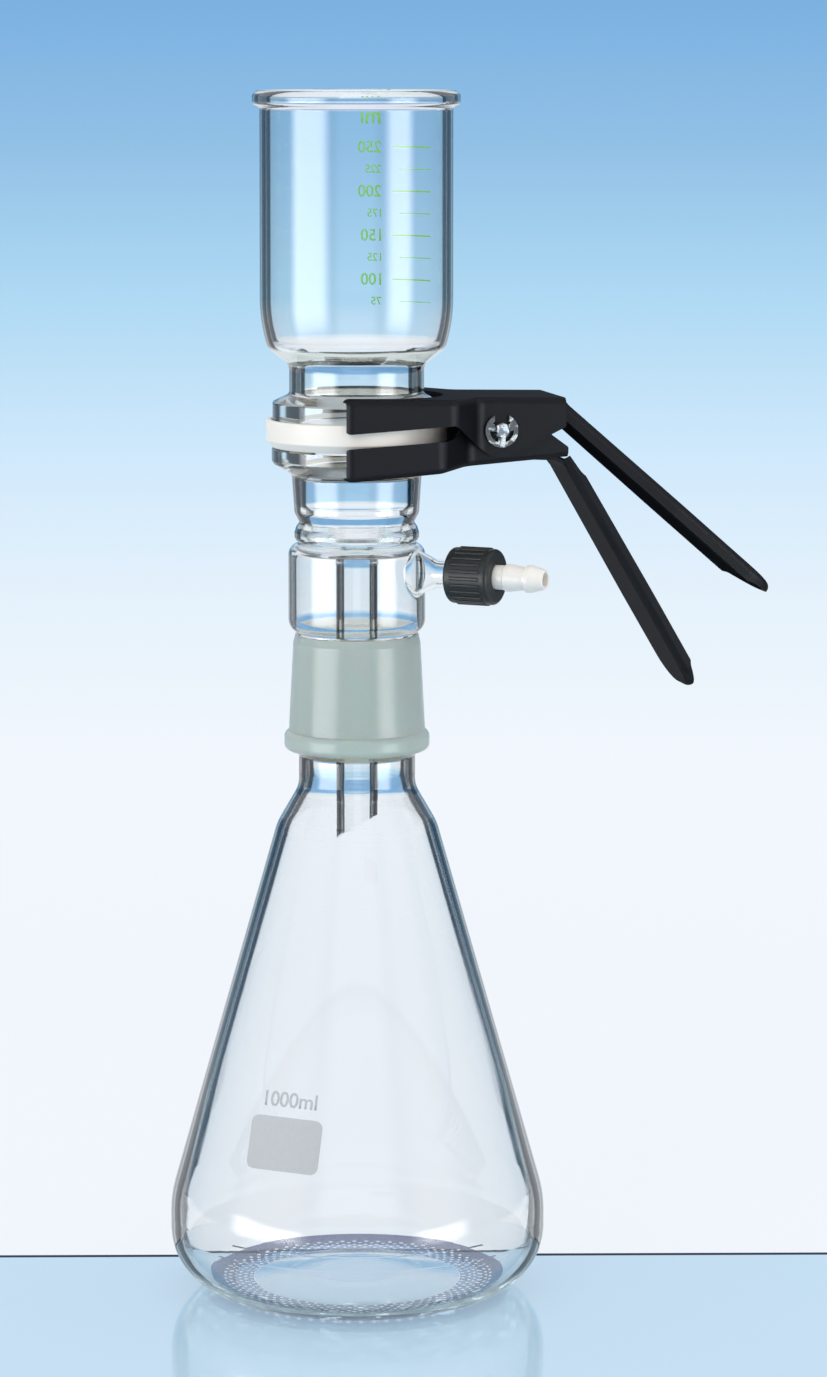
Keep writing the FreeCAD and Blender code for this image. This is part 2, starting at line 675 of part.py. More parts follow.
def handle_channel(length, depth, narrowing, back, ramp):
    """Channel along +X, plate on top, walls down, closed round the tip.

    It starts behind the origin by back, and its walls deepen over the ramp.
    """
    root = HANDLE_ROOT_HALF_WIDTH - narrowing
    half = [
        (-back, root, 0),
        (HANDLE_WIDEST_REACH, HANDLE_WIDEST_HALF_WIDTH - narrowing, HANDLE_SIDE_BLEND),
        (length, HANDLE_TIP_HALF_WIDTH - narrowing, HANDLE_TIP_RADIUS - narrowing),
    ]
    outer = plan_prism(mirrored_plan(half), -depth, 0)
    rims = [e for e in outer.Edges if e.BoundBox.ZMin > -1e-3 and e.BoundBox.XMax > 1e-3 - back]
    outer = outer.makeFillet(BEND_RADIUS, rims)
    open_root = [(-back - HANDLE_RUN_IN, root, 0)] + half[1:] + [(length, 0, 0)]
    inner = plan_prism(mirrored_plan(offset_outline(open_root, -SHEET)[:3]), -depth - 5, -SHEET)
    rims = [e for e in inner.Edges if e.BoundBox.ZMin > -SHEET - 1e-3 and e.BoundBox.XMax > 1]
    inner = inner.makeFillet(BEND_RADIUS - SHEET, rims)
    channel = outer.cut(inner).cut(side_prism([
        (length - HANDLE_TIP_RELIEF, -depth - 1, 0),
        (length - HANDLE_TIP_RELIEF, -depth, 8.0),
        (length + 1, -BEND_RADIUS, 0),
        (length + 1, -depth - 1, 0),
    ], BEYOND))
    if ramp:
        channel = channel.cut(side_prism([
            (-back - 1, -LOWER_HANDLE_ROOT_DEPTH, 0),
            (ramp, -depth, 10.0),
            (ramp, -depth - 1, 0),
            (-back - 1, -depth - 1, 0),
        ], BEYOND))
    return channel


def jaw(shell, spine, lead, handle_angle, root, channel):
    """One pressed jaw: shell, bent neck strip, handle, fork slot and pin holes.

    The channel starts past the spine's last corner by the lead.
    """
    end_x, end_z, _ = spine[-1]
    cosine = math.cos(math.radians(handle_angle))
    sine = math.sin(math.radians(handle_angle))
    reach = lead + STRIP_LAP
    top = spine + [(end_x + reach * cosine, end_z + reach * sine, 0)]
    under = offset_outline(top, -SHEET)
    strip = side_prism(top + list(reversed(under)), root - STRIP_SETBACK)
    channel.rotate(ORIGIN, V(0, 1, 0), -handle_angle)
    channel.translate(V(end_x + lead * cosine, 0, end_z + lead * sine))
    hole = Part.makeCylinder(PIN_RADIUS + PIN_FIT, 2 * BEYOND, V(0, -BEYOND, 0), V(0, 1, 0))
    body = shell.cut(fork_slot()).fuse([strip, channel]).cut(hole)
    return body.removeSplitter()


def upper_jaw():
    shell = jaw_shell(
        UPPER_REAR_LENGTH, UPPER_PLATE_HEIGHT, UPPER_TILT, UPPER_WALL_FRONT, UPPER_WALL_MIDDLE,
        UPPER_WALL_REAR, 0,
    )
    slope = math.tan(math.radians(UPPER_TILT))
    rear = UPPER_REAR_LENGTH - 0.2
    rear_z = UPPER_PLATE_HEIGHT - rear * slope
    spine = [
        (rear - 8, UPPER_PLATE_HEIGHT - (rear - 8) * slope, 0),
        (rear, rear_z, 1.6),
        (rear + UPPER_KNEE_RUN, rear_z - UPPER_KNEE_DROP, 0),
    ]
    channel = handle_channel(UPPER_HANDLE_LENGTH, UPPER_HANDLE_DEPTH, 0, UPPER_HANDLE_BACK, 0)
    solid = jaw(shell, spine, 0, -UPPER_HANDLE_ANGLE, HANDLE_ROOT_HALF_WIDTH, channel)
    solid.translate(V(PIN_X, 0, PIN_Z))
    return solid


def lower_jaw():
    shell = jaw_shell(
        LOWER_REAR_LENGTH, LOWER_PLATE_DEPTH, LOWER_TILT, LOWER_WALL_FRONT, LOWER_WALL_MIDDLE,
        LOWER_WALL_REAR, SHEET + JAW_SIDE_GAP,
    )
    slope = math.tan(math.radians(LOWER_TILT))
    knee = LOWER_REAR_LENGTH - LOWER_KNEE_SETBACK
    start = knee - LOWER_TONGUE_RUN
    spine = [
        (start - 4, LOWER_PLATE_DEPTH - (start - 4) * slope, 0),
        (start, LOWER_PLATE_DEPTH - start * slope, LOWER_TONGUE_BEND),
        (knee, LOWER_PLATE_DEPTH - knee * slope + LOWER_TONGUE_DROP, LOWER_BEND_RADIUS),
    ]
    rise = spine[2][1] - spine[1][1]
    tongue_angle = math.degrees(math.atan2(rise, LOWER_TONGUE_RUN))
    lead = LOWER_BEND_RADIUS * math.tan(math.radians((LOWER_HANDLE_ANGLE - tongue_angle) / 2))
    channel = handle_channel(
        LOWER_HANDLE_LENGTH - lead, LOWER_HANDLE_DEPTH, LOWER_HANDLE_NARROWING, lead,
        LOWER_HANDLE_RAMP,
    )
    root = HANDLE_ROOT_HALF_WIDTH - LOWER_HANDLE_NARROWING
    solid = jaw(shell, spine, lead, LOWER_HANDLE_ANGLE, root, channel)
    solid = solid.mirror(ORIGIN, UP)
    solid.translate(V(PIN_X, 0, PIN_Z))
    return solid


def hinge_pin():
    half = clip_station() + CLIP_THICKNESS + PIN_OVERHANG
    pin = Part.makeCylinder(PIN_RADIUS, 2 * half, V(PIN_X, -half, PIN_Z), V(0, 1, 0))
    pin = pin.makeChamfer(0.5, [e for e in pin.Edges if len(e.Vertexes) == 1])
    for side in (-1, 1):
        middle = side * (clip_station() + CLIP_THICKNESS / 2)
        width = CLIP_THICKNESS + 0.1
        start = V(PIN_X, middle - width / 2, PIN_Z)
        band = Part.makeCylinder(PIN_RADIUS + 1, width, start, V(0, 1, 0))
        core = Part.makeCylinder(PIN_RADIUS - CLIP_GROOVE, width, start, V(0, 1, 0))
        pin = pin.cut(band.cut(core))
    return pin


def clip_station():
    return JAW_REAR_HALF_WIDTH + CLIP_EAR_GAP


def retaining_clips():
    """Two E-shaped clips, open at the top, in the grooves at the pin's ends."""
    groove = PIN_RADIUS - CLIP_GROOVE
    across = V(0, 1, 0)
    clip = Part.makeCylinder(CLIP_RADIUS, CLIP_THICKNESS, ORIGIN, across)
    clip = clip.cut(Part.makeCylinder(CLIP_RADIUS - CLIP_BAND, CLIP_THICKNESS, ORIGIN, across))
    for turn in (0, CLIP_LUG_TURN, -CLIP_LUG_TURN):
        lug = Part.makeBox(
            CLIP_LUG_WIDTH, CLIP_THICKNESS, CLIP_RADIUS - CLIP_BAND / 2,
            V(-CLIP_LUG_WIDTH / 2, 0, -(CLIP_RADIUS - CLIP_BAND / 2)),
        )
        lug.rotate(ORIGIN, across, turn)
        clip = clip.fuse(lug)
    mouth = Part.makeBox(CLIP_MOUTH, CLIP_THICKNESS, CLIP_RADIUS, V(-CLIP_MOUTH / 2, 0, CLIP_MOUTH_FLOOR))
    clip = clip.cut(mouth)
    clip = clip.cut(Part.makeCylinder(groove, CLIP_THICKNESS, ORIGIN, across)).removeSplitter()
    near = clip.copy()
    near.translate(V(PIN_X, -clip_station() - CLIP_THICKNESS, PIN_Z))
    far = clip.copy()
    far.translate(V(PIN_X, clip_station(), PIN_Z))
    return Part.makeCompound([near, far])


def leg_tilt(radius, rise):
    """Slope of a leg that leaves the coil at a tangent and ends at the given height."""
    reach = math.hypot(SPRING_LEG_X, rise)
    return math.degrees(math.atan2(rise, SPRING_LEG_X) - math.asin(radius / reach))


def torsion_spring():
    """Coil round the pin with a straight leg pressing each plate behind the pin."""
    radius = PIN_RADIUS + SPRING_GAP + SPRING_WIRE / 2
    to_plate = SHEET + SPRING_WIRE / 2 + SPRING_SEAT
    upper_slope = math.tan(math.radians(UPPER_TILT))
    lower_slope = math.tan(math.radians(LOWER_TILT))
    upper_rise = UPPER_PLATE_HEIGHT - to_plate - SPRING_LEG_X * upper_slope
    lower_rise = LOWER_PLATE_DEPTH - to_plate - SPRING_LEG_X * lower_slope
    upper_tilt = leg_tilt(radius, upper_rise)
    lower_tilt = leg_tilt(radius, lower_rise)
    turns = SPRING_TURNS + (180 - upper_tilt - lower_tilt) / 360
    width = turns * SPRING_PITCH
    helix = Part.makeHelix(SPRING_PITCH, width, radius)
    section = Part.Wire(Part.makeCircle(SPRING_WIRE / 2, V(radius, 0, 0), V(0, 1, 0)))
    coil = Part.Wire(helix.Edges).makePipeShell([section], True, True)
    spring = coil
    for rise, station, angle in ((upper_rise, 0, 0), (lower_rise, width, turns * 360)):
        length = math.sqrt(SPRING_LEG_X**2 + rise**2 - radius**2)
        way = -1 if station == 0 else 1
        leg = Part.makeCylinder(SPRING_WIRE / 2, length, V(radius, 0, station), V(0, way, 0))
        leg.rotate(ORIGIN, UP, angle)
        spring = spring.fuse(leg)
    spring.translate(V(0, 0, -width / 2))
    spring.rotate(ORIGIN, UP, 90 + upper_tilt)
    spring.rotate(ORIGIN, V(1, 0, 0), 90)
    spring.translate(V(PIN_X, 0, PIN_Z))
    return spring


PARTS = {
    "flask": flask,
    "receiver_head": receiver_head,
    "funnel": funnel,
    "seal_ring": seal_ring,
    "filter_frit": filter_frit,
    "upper_jaw": upper_jaw,
    "lower_jaw": lower_jaw,
    "hinge_pin": hinge_pin,
    "retaining_clips": retaining_clips,
    "torsion_spring": torsion_spring,
    "screw_cap": screw_cap,
    "hose_nozzle": hose_nozzle,
    "nozzle_seal": nozzle_seal,
}

os.makedirs("parts", exist_ok=True)
for name, make in PARTS.items():
    shape = make()
    box = shape.BoundBox
    print(
        name, "solids", len(shape.Solids), "valid", shape.isValid(),
        "volume %.1f" % shape.Volume,
        "x %.1f..%.1f y %.1f..%.1f z %.1f..%.1f"
        % (box.XMin, box.XMax, box.YMin, box.YMax, box.ZMin, box.ZMax),
    )
    shape.exportStep("parts/%s.step" % name)
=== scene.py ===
import math

import bpy
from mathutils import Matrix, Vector


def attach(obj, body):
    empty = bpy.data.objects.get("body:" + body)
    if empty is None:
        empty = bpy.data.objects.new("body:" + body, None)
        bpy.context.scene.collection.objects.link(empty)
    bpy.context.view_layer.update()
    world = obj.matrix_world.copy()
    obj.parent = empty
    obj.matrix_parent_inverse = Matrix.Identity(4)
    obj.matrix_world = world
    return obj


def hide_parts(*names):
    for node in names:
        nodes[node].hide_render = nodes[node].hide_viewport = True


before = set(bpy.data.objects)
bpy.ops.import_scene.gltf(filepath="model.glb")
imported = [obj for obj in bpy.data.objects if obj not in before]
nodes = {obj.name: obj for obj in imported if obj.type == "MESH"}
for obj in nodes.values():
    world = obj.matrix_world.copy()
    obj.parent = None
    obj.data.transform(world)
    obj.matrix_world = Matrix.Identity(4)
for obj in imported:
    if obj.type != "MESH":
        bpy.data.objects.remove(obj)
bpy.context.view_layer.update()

MM = 0.001

# ---------- camera, turned about the glass axis from the front ----------
VIEW_TURN = math.radians(12.0)
VIEW_DISTANCE = 1.540
VIEW_HEIGHT = 0.436
VIEW_TILT = math.radians(4.770)
VIEW_ASIDE = math.radians(0.733)
VIEW_LENS = 116.56
VIEW_SHIFT = -0.20

# ---------- table: its back edge, as a distance behind the glass axis ----------
TABLE_RADIUS = 1.0
TABLE_SIDES = 96
TABLE_EDGE = 34.5 * MM
TABLE_LINE = 3.0 * MM
TABLE_FADE = (0.5, 1.0)

# ---------- lamps: place, aim, size, power and colour ----------
LAMP_AIM = (0, 0, 0.22)
KEY_LAMP = ((-0.9, -0.9, 1.15), LAMP_AIM, (0.7, 1.0), 6.0, (1.0, 0.99, 0.97))
FILL_LAMP = ((1.2, -0.6, 0.6), LAMP_AIM, (0.5, 1.1), 2.5, (0.96, 0.98, 1.0))
ROOM_LIGHT = (0.96, 0.98, 1.0, 1.0)
ROOM_POWER = 0.86

# ---------- windows that show in gloss: their two sides, as turns from the view ----------
WINDOWS = (
    (math.radians(-88.0), math.radians(-28.0)),
    (math.radians(30.0), math.radians(76.0)),
)
WINDOW_EDGE = math.radians(16.5)
WINDOW_LIGHT = (0.97, 0.99, 1.0, 1.0)
WINDOW_LOW_POWER = 11.0
WINDOW_HIGH_POWER = 1.4

# ---------- glass ----------
GLASS_IOR = 1.473
GLASS_SHADE = (0.52, 0.64, 0.66, 1.0)
GLASS_DENSITY = 15.0
RIM_WIDTH = 2.4 * MM
FLASK_RADIUS = 65.5 * MM
FLASK_FLANK = 32.5 * MM
FLASK_LEAN = math.radians(15.9)
FLASK_LOW = 40.0 * MM
HEEL_TOP = 13.0 * MM
HEEL_INNER = 46.0 * MM
FOOT_TOP = 2.2 * MM
FOOT_RING_INNER = 37.0 * MM
FOOT_RING_OUTER = 53.0 * MM
STIPPLE_OUTER = 48.2 * MM
STIPPLE_PITCH = 1.9 * MM
STIPPLE_COUNT = 68
STIPPLE_RADIUS = 0.62 * MM
JOINT_LOW = 190.5 * MM
JOINT_HIGH = 230.5 * MM
JOINT_RADIUS = 22.5 * MM
JOINT_TAPER = 0.05
JOINT_INNER = 19.3 * MM
JOINT_MARGIN = 0.2 * MM
JOINT_LAP = 0.6 * MM
MOUTH_DEPTH = 9.0 * MM
MOUTH_RISE = 6.0 * MM
DRIP_TUBE_CLEAR = 8.0 * MM
BULB_TOP = 260.0 * MM
BARREL_RADIUS = 33.5 * MM

# ---------- printed marks ----------
INK_DEPTH = 0.06 * MM
BEND_STEP = 1.0 * MM
LETTER_WEIGHT = 0.012
SCALE_TURN = math.radians(78.0)
SCALE_LOW = 344.6 * MM
SCALE_STEP = 7.77 * MM
SCALE_VALUES = (75, 100, 125, 150, 175, 200, 225, 250)
MAIN_VALUES = 50
# turns in degrees, taken off the scale's own turn
LINE_END = 54.0
LONG_LINE_START = 23.0
SHORT_LINE_START = 28.0
NUMBER_START = 15.5
UNIT_START = 9.0
LONG_LINE_WEIGHT = 0.55 * MM
SHORT_LINE_WEIGHT = 0.34 * MM
MAIN_FIGURES = 4.2 * MM
SMALL_FIGURES = 2.9 * MM
UNIT_LETTERS = 5.8 * MM
UNIT_HEIGHT = 410.0 * MM
LABEL_TURN = math.radians(-128.5)
LABEL_HEIGHT = 62.5 * MM
LABEL_SIZE = (27.3 * MM, 18.2 * MM)
LABEL_CORNER = 2.7 * MM
VOLUME_TURN = math.radians(-127.6)
VOLUME_HEIGHT = 77.0 * MM
VOLUME_LETTERS = 5.2 * MM

# ---------- torsion spring: where its upper leg leaves the coil, and its rise ----------
SPRING_LEG_ROOT = (45.826 * MM, 8.1724 * MM, 306.1826 * MM)
SPRING_LEG_RISE = 13.743
SPRING_LEG_START = -0.05 * MM
SPRING_LEG_REACH = 1.05 * MM
WELD = 0.001 * MM


# ---------- shader helpers ----------
class Wire:
    """An output of a node, which can be used in sums."""

    def __init__(self, sheet, socket):
        self.sheet = sheet
        self.socket = socket

    def sum(self, operation, *values):
        return self.sheet.node(
            "ShaderNodeMath", {"operation": operation}, dict(enumerate(values))
        )

    def __add__(self, other):
        return self.sum("ADD", self, other)

    def __radd__(self, other):
        return self.sum("ADD", other, self)

    def __sub__(self, other):
        return self.sum("SUBTRACT", self, other)

    def __rsub__(self, other):
        return self.sum("SUBTRACT", other, self)

    def __mul__(self, other):
        return self.sum("MULTIPLY", self, other)

    def __rmul__(self, other):
        return self.sum("MULTIPLY", other, self)

    def __truediv__(self, other):
        return self.sum("DIVIDE", self, other)

    def __pow__(self, other):
        return self.sum("POWER", self, other)

    def __gt__(self, other):
        return self.sum("GREATER_THAN", self, other)

    def __lt__(self, other):
        return self.sum("LESS_THAN", self, other)


class Sheet:
    """The node tree of a material or of the world."""

    def __init__(self, owner):
        owner.use_nodes = True
        self.tree = owner.node_tree
        self.tree.nodes.clear()

    def node(self, kind, settings=None, values=None, output=0):
        made = self.tree.nodes.new(kind)
        for name, value in (settings or {}).items():
            if name == "stops":
                self.stops(made.color_ramp, value)
            else:
                setattr(made, name, value)
        for name, value in (values or {}).items():
            if isinstance(value, Wire):
                self.tree.links.new(value.socket, made.inputs[name])
            else:
                made.inputs[name].default_value = value
        return Wire(self, made.outputs[output]) if made.outputs else None

    def stops(self, ramp, stops):
        while len(ramp.elements) < len(stops):
            ramp.elements.new(0.5)
        for element, (place, colour) in zip(ramp.elements, stops):
            element.position = place
            element.color = colour

    def place(self):
        return self.node("ShaderNodeTexCoord", output="Object")

    def axes(self, vector):
        return [self.node("ShaderNodeSeparateXYZ", None, {0: vector}, i) for i in range(3)]

    def stretched(self, scale):
        """The place with its axes scaled, so that a texture on it has a grain."""
        return self.node("ShaderNodeMapping", None, {"Vector": self.place(), "Scale": scale})

    def noise(self, scale, detail=3.0, rough=0.5, place=None):
        values = {"Scale": scale, "Detail": detail, "Roughness": rough}
        values["Vector"] = place or self.place()
        return self.node("ShaderNodeTexNoise", {"noise_dimensions": "3D"}, values)

    def ramp(self, factor, stops):
        return self.node("ShaderNodeValToRGB", {"stops": stops}, {0: factor})

    def blend(self, factor, first, second):
        return self.node(
            "ShaderNodeMix", {"data_type": "RGBA"}, {0: factor, 6: first, 7: second}, 2
        )

    def bump(self, height, strength, distance):
        values = {"Height": height, "Strength": strength, "Distance": distance}
        return self.node("ShaderNodeBump", None, values)

    def step(self, value, edge, width):
        """Climbs from 0 to 1 over the width that follows the edge."""
        return self.node(
            "ShaderNodeMapRange", {"interpolation_type": "SMOOTHSTEP"},
            {0: value, 1: edge, 2: edge + width},
        )

    def facing(self):
        """0 where the surface faces the ray, 1 where it is edge on."""
        return self.node("ShaderNodeLayerWeight", None, {"Blend": 0.5}, "Facing")

    def path(self, name):
        return self.node("ShaderNodeLightPath", output=name)

    def seen(self):
        """1 for what is looked at directly, in glass or in gloss."""
        looked = self.path("Is Camera Ray") + self.path("Is Glossy Ray")
        return self.node(
            "ShaderNodeMath", {"operation": "ADD", "use_clamp": True},
            {0: looked, 1: self.path("Is Transmission Ray")},
        )

    def inward(self):
        """1 for what glass shows only by a reflection inside its own walls."""
        turned = self.path("Glossy Depth") > 0.5
        entered = self.path("Transmission Depth") > 0.5
        return turned * entered

    def surface(self, **values):
        named = {name.replace("_", " "): value for name, value in values.items()}
        return self.node("ShaderNodeBsdfPrincipled", None, named)

    def glow(self, kind, colour, strength):
        """Emission or Background of one colour."""
        return self.node("ShaderNode" + kind, None, {"Color": colour, "Strength": strength})

    def pane(self, colour):
        return self.node("ShaderNodeBsdfTransparent", None, {"Color": colour})

    def mix(self, factor, first, second):
        return self.node("ShaderNodeMixShader", None, {0: factor, 1: first, 2: second})

    def finish(self, shader):
        self.node("ShaderNodeOutputMaterial", None, {"Surface": shader})


def paint(red, green, blue):
    """Linear colour of a shade written as it looks, from 0 to 255."""
    parts = []
    for value in (red, green, blue):
        level = value / 255
        parts.append(level / 12.92 if level <= 0.04045 else ((level + 0.055) / 1.055) ** 2.4)
    return (*parts, 1.0)


def material(name):
    made = bpy.data.materials.new(name)
    return made, Sheet(made)


# ---------- materials ----------
def stipples(x, y, radius):
    """Raised dots in staggered rings round the foot."""
    row = (radius - FOOT_RING_INNER) / STIPPLE_PITCH
    ring = row.sum("FLOOR", row)
    turn = y.sum("ARCTAN2", y, x) * (STIPPLE_COUNT / math.tau) + 0.5 * ring
    across = (turn.sum("FRACT", turn) - 0.5) * (math.tau * FOOT_RING_INNER / STIPPLE_COUNT)
    along = (row.sum("FRACT", row) - 0.5) * STIPPLE_PITCH
    return across * across + along * along < STIPPLE_RADIUS ** 2


def wall_edge(sheet, facing, up, radius, z):
    """Painted shade: 1 along the sides of an upright round glass, where a dark surface is mixed
    in, as wide as the wall of the glass.
    """
    bulb = (z > JOINT_HIGH) * (z < BULB_TOP)
    joint = (z > JOINT_LOW) * (z < JOINT_HIGH)
    # the band is widest at the flask's foot and narrowest on the bulb
    wider = 1.25 - 0.3 * bulb - 0.25 * sheet.step(z, FLASK_LOW, FLASK_LOW)
    start = 1 - wider * math.sqrt(2 * RIM_WIDTH) * radius ** -0.5
    start = start.sum("MAXIMUM", start, 0.35)
    upright = sheet.step(1 - up.sum("ABSOLUTE", up), 0.3, 0.3)
    # across the band, from 0 at its inner side to 1 at the outline
    past = (facing - start) / (1 - start)
    band = sheet.step(past, 0.0, 0.13)
    # a painted pale line along the middle of the painted shade band
    painted_pale_line = sheet.step(past, 0.38, 0.05) * sheet.step(-1 * past, -0.56, 0.05)
    outer = sheet.step(past, 0.72, 0.1) * (z < JOINT_LOW)
    return band * upright * (1 - 0.7 * joint) * (1 - 0.4 * painted_pale_line) * (1 - 0.5 * outer)


def clear_glass():
    """Borosilicate glass with painted dark edges, a ground joint, painted streaky shade and
    glints on the heel, and a stippled foot with painted shade and painted highlights.
    """
    made, sheet = material("borosilicate_glass")
    facing = sheet.facing()
    # painted shade: the glass's colour darkens towards its outline, where the surface turns edge
    # on
    painted_shade_tint = sheet.ramp(facing, [
        (0.0, paint(255, 255, 255)),
        (0.50, paint(254, 255, 255)),
        (0.74, paint(240, 244, 247)),
        (0.90, paint(190, 200, 208)),
        (1.0, paint(120, 132, 142)),
    ])
    x, y, z = sheet.axes(sheet.place())
    radius = (x * x + y * y) ** 0.5
    foot = (z < FOOT_TOP) * (radius > FOOT_RING_INNER) * (radius < FOOT_RING_OUTER)
    streaks = sheet.noise(150.0, place=sheet.stretched((1.0, 1.0, 5.0)))
    _, _, up = sheet.axes(sheet.node("ShaderNodeNewGeometry", output="Normal"))
    outside = 1 - sheet.node("ShaderNodeNewGeometry", output="Backfacing")
    heel = (radius > HEEL_INNER) * (1 - sheet.step(z, 0.6 * HEEL_TOP, 0.4 * HEEL_TOP))
    heel = heel * outside * (up < -0.1)
    # painted shade and highlight: the heel's underside is streaked from dark grey to pale
    painted_heel_streaks = sheet.ramp(streaks, [
        (0.0, paint(96, 92, 84)),
        (0.45, paint(150, 150, 140)),
        (0.55, paint(216, 222, 206)),
        (1.0, paint(240, 246, 232)),
    ])
    painted_shade_tint = sheet.blend(heel * 0.75, painted_shade_tint, painted_heel_streaks)
    # painted shade: the foot ring is tinted dark slate blue
    clear = sheet.surface(
        Base_Color=sheet.blend(foot, painted_shade_tint, paint(66, 68, 98)),
        Roughness=0.0, IOR=GLASS_IOR, Transmission_Weight=1.0,
    )
    # painted shade: a dark, faintly glossy surface mixed in along the glass's sides
    rim = sheet.surface(
        Base_Color=paint(20, 26, 33), Roughness=0.08, IOR=GLASS_IOR, Specular_IOR_Level=0.22
    )
    body = sheet.mix(0.95 * wall_edge(sheet, facing, up, radius, z), clear, rim)
    # painted highlights: a white, faintly glowing surface draws the foot's stipples and glints on
    # the heel
    dot = sheet.surface(
        Base_Color=paint(250, 251, 253), Roughness=0.3,
        Emission_Color=paint(250, 251, 253), Emission_Strength=0.3,
    )
    dots = foot * (radius < STIPPLE_OUTER) * stipples(x, y, radius)
    painted_heel_glints = heel * sheet.step(streaks, 0.62, 0.03)
    body = sheet.mix(dots + 0.8 * painted_heel_glints, body, dot)
    grain = sheet.noise(2600.0, 2.0)
    ground = sheet.surface(
        Base_Color=sheet.blend(grain, paint(236, 235, 222), paint(246, 246, 236)),
        Roughness=0.42 + 0.16 * grain, IOR=GLASS_IOR,
        Transmission_Weight=0.45, Subsurface_Weight=0.5,
        Normal=sheet.bump(grain, 0.25, 0.05 * MM),
    )
    joint = (z > JOINT_LOW) * (z < JOINT_HIGH - JOINT_MARGIN) * (radius > JOINT_INNER)
    lapped = radius + JOINT_TAPER * (z - JOINT_LOW) < JOINT_RADIUS + JOINT_LAP
    joint = joint * (0.65 + 0.35 * lapped)
    mouth = (z > JOINT_HIGH - MOUTH_DEPTH) * (z < JOINT_HIGH + MOUTH_RISE) * (up > 0.35)
    mouth = mouth * (radius > DRIP_TUBE_CLEAR) * (radius < JOINT_RADIUS)
    joint = joint.sum("MAXIMUM", joint, mouth)
    shell = sheet.mix(joint, body, ground)
    # painted light: light that is still turned about inside the walls comes out as a pale glow
    turned = sheet.path("Glossy Depth") > 2.5
    lost = turned.sum("MAXIMUM", turned, sheet.path("Ray Depth") > 9.5)
    pale = sheet.glow("Emission", paint(226, 234, 234), 1.0)
    shell = sheet.mix(lost * (1 - joint), shell, pale)
    # clear glass throws hardly any shadow
    shadow = sheet.path("Is Shadow Ray") * (1 - joint)
    shell = sheet.mix(shadow, shell, sheet.pane(paint(252, 253, 254)))
    inside = sheet.node(
        "ShaderNodeVolumeAbsorption", None, {"Color": GLASS_SHADE, "Density": GLASS_DENSITY}
    )
    sheet.node("ShaderNodeOutputMaterial", None, {"Surface": shell, "Volume": inside})
    return made


def moulded(name, light, dark, roughness, grain_scale, depth, **extra):
    """Moulded or pressed material with a slight mottle and a fine skin texture."""
    made, sheet = material(name)
    mottle = sheet.noise(90.0, 4.0, 0.6)
    grain = sheet.noise(grain_scale, 2.0)
    sheet.finish(sheet.surface(
        Base_Color=sheet.blend(mottle, light, dark),
        Roughness=roughness * (0.8 + 0.4 * grain),
        Normal=sheet.bump(grain, 0.3, depth),
        **extra,
    ))
    return made


def black_lacquer():
    """Baked lacquer, satin where it faces the eye and dull at a slant."""
    made, sheet = material("black_clamp_lacquer")
    mottle = sheet.noise(90.0, 4.0, 0.6)
    grain = sheet.noise(900.0, 2.0)
    colour = sheet.blend(mottle, paint(17, 18, 21), paint(23, 24, 28))
    skin = sheet.bump(grain, 0.3, 0.05 * MM)
    satin = sheet.surface(
        Base_Color=colour, Roughness=0.46 * (0.8 + 0.4 * grain), Specular_IOR_Level=0.13,
        Normal=skin,
    )
    dull = sheet.surface(Base_Color=colour, Roughness=0.8, Specular_IOR_Level=0.0, Normal=skin)
    slant = sheet.step(sheet.facing(), 0.3, 0.3)
    sheet.finish(sheet.mix(0.75 * slant, satin, dull))
    return made


def sintered_glass():
    """Opaque white grains fused into a disc."""
    made, sheet = material("sintered_glass_disc")
    grains = sheet.node(
        "ShaderNodeTexVoronoi", None, {"Vector": sheet.place(), "Scale": 1500.0}
    )
    fine = sheet.noise(2400.0)
    sheet.finish(sheet.surface(
        Base_Color=sheet.blend(grains, paint(240, 241, 238), paint(214, 217, 214)),
        Roughness=0.75 + 0.2 * fine,
        Normal=sheet.bump(grains + fine * 0.4, 0.6, 0.2 * MM),
        Subsurface_Weight=0.15,
    ))
    return made


def metal(name, light, dark, roughness, line_scale, reflection_scale=300.0, reflection_edge=0.44):
    """Bare metal with fine drawn lines and darker clouds, which are painted reflections of dark
    surroundings.
    """
    made, sheet = material(name)
    lines = sheet.noise(line_scale, place=sheet.stretched((1.0, 0.05, 1.0)))
    # painted reflections: darker clouds in the metal's colour
    painted_reflection_clouds = sheet.step(sheet.noise(reflection_scale, 2.0), reflection_edge, 0.12)
    sheet.finish(sheet.surface(
        Base_Color=sheet.blend(0.25 * lines + 0.75 * painted_reflection_clouds, light, dark),
        Metallic=1.0,
        Roughness=roughness * (0.7 + 0.6 * lines),
        Normal=sheet.bump(lines, 0.15, 0.03 * MM),
    ))
    return made


def ink(name, colour, worn, glow):
    """Fired enamel print, a little uneven in strength."""
    made, sheet = material(name)
    patches = sheet.noise(700.0, 3.0, 0.6)
    # the print glows a little: painted light that lightens it where it is unlit
    sheet.finish(sheet.surface(
        Base_Color=sheet.blend(patches, colour, worn), Roughness=0.45 + 0.2 * patches,
        Emission_Color=colour, Emission_Strength=glow,
    ))
    return made


